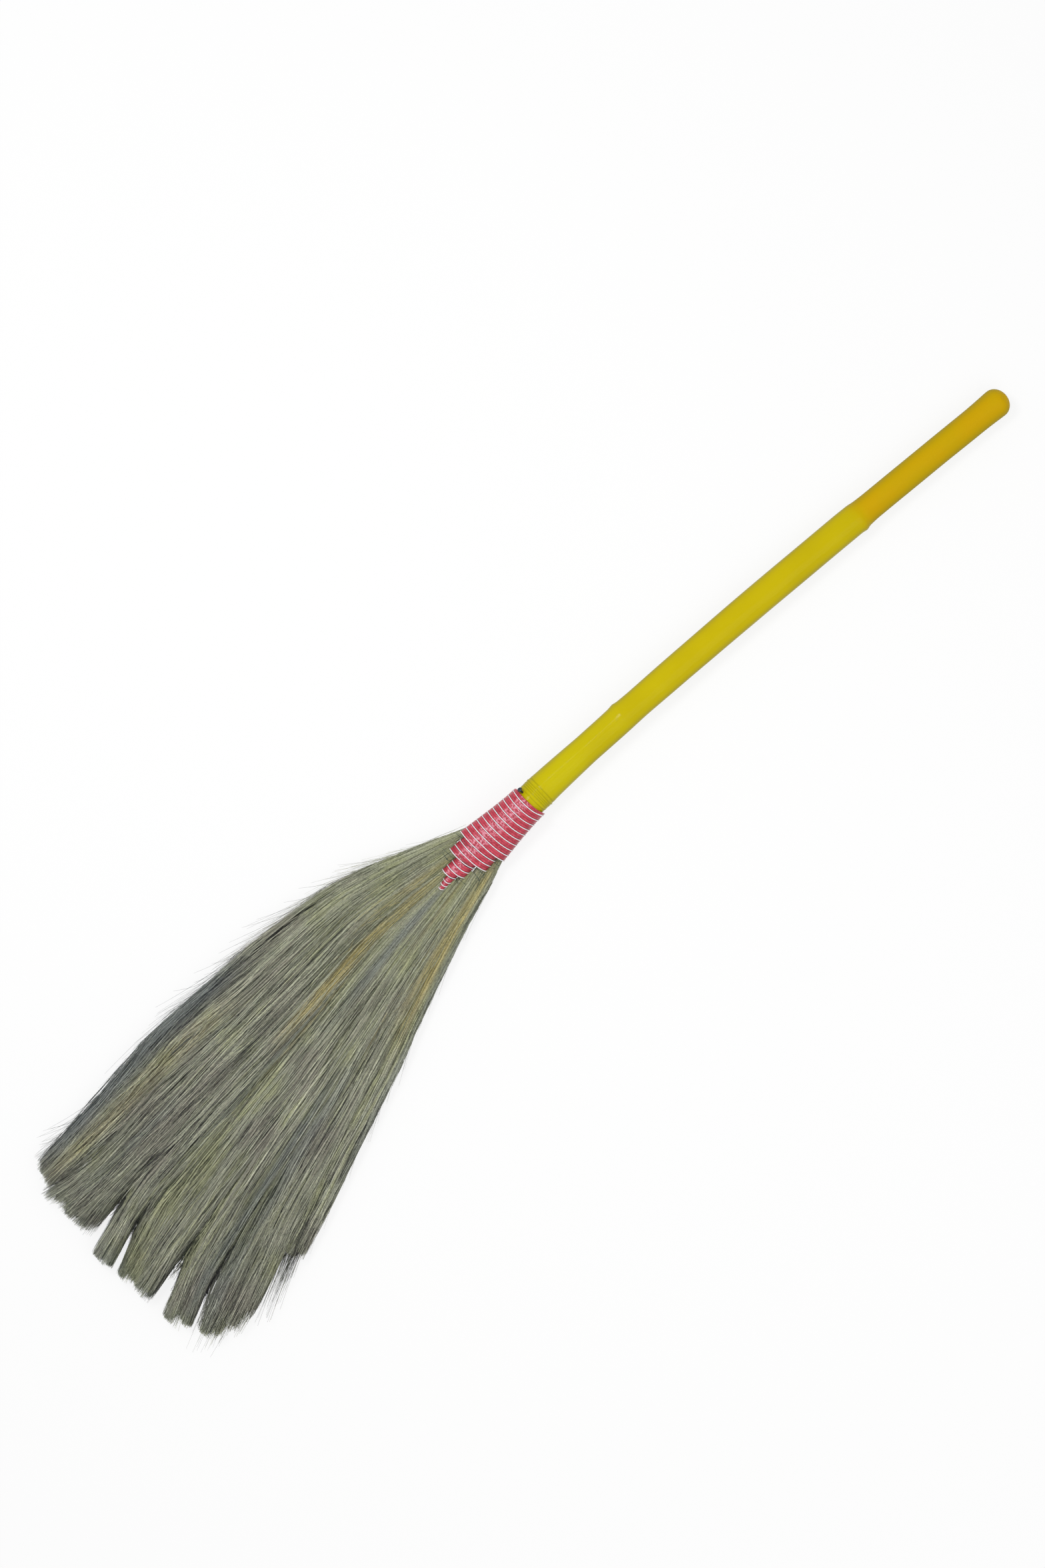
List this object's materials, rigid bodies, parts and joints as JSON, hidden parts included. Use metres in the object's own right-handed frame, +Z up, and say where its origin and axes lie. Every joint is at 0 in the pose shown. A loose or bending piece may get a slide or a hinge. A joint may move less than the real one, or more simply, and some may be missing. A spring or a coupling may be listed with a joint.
{
  "type": "straw broom",
  "caption": "Hand broom: soft grass bundles sewn into a fan by a red and white winding, on a bent bamboo handle under yellow film.",
  "frame": {"origin": "centre of the bounding box at the surface the broom lies on", "axes": "+X along the broom towards the far end of the handle, +Z up from the surface, +Y towards the side that the neck leans to"},
  "size_m": [0.9935, 0.2135, 0.0331],
  "materials": {
    "bamboo": "dry cut bamboo",
    "yellow_film": "thin shrunk film, glossy",
    "dry_grass": "dull dry grass stems with feathery tips",
    "red_ribbon": "shiny woven plastic strip",
    "white_filament": "smooth plastic filament",
    "green_thread": "dark twisted thread",
    "dark_steel": "dark, lightly rusted steel"
  },
  "bodies": {
    "root": {"bamboo_cane": "bamboo", "yellow_film_sleeve": "yellow_film", "grass_bundle_right_outer": "dry_grass", "grass_bundle_right_middle": "dry_grass", "grass_bundle_right_inner": "dry_grass", "grass_bundle_centre": "dry_grass", "grass_bundle_left_inner": "dry_grass", "grass_bundle_left_middle": "dry_grass", "grass_bundle_left_outer": "dry_grass", "red_ribbon_winding": "red_ribbon", "white_filament_winding": "white_filament", "thread_tie_right_outer": "green_thread", "thread_tie_right_middle": "green_thread", "thread_tie_right_inner": "green_thread", "thread_tie_left_inner": "green_thread", "thread_tie_left_middle": "green_thread", "thread_tie_left_outer": "green_thread", "steel_nail": "dark_steel"}
  },
  "joints": []
}
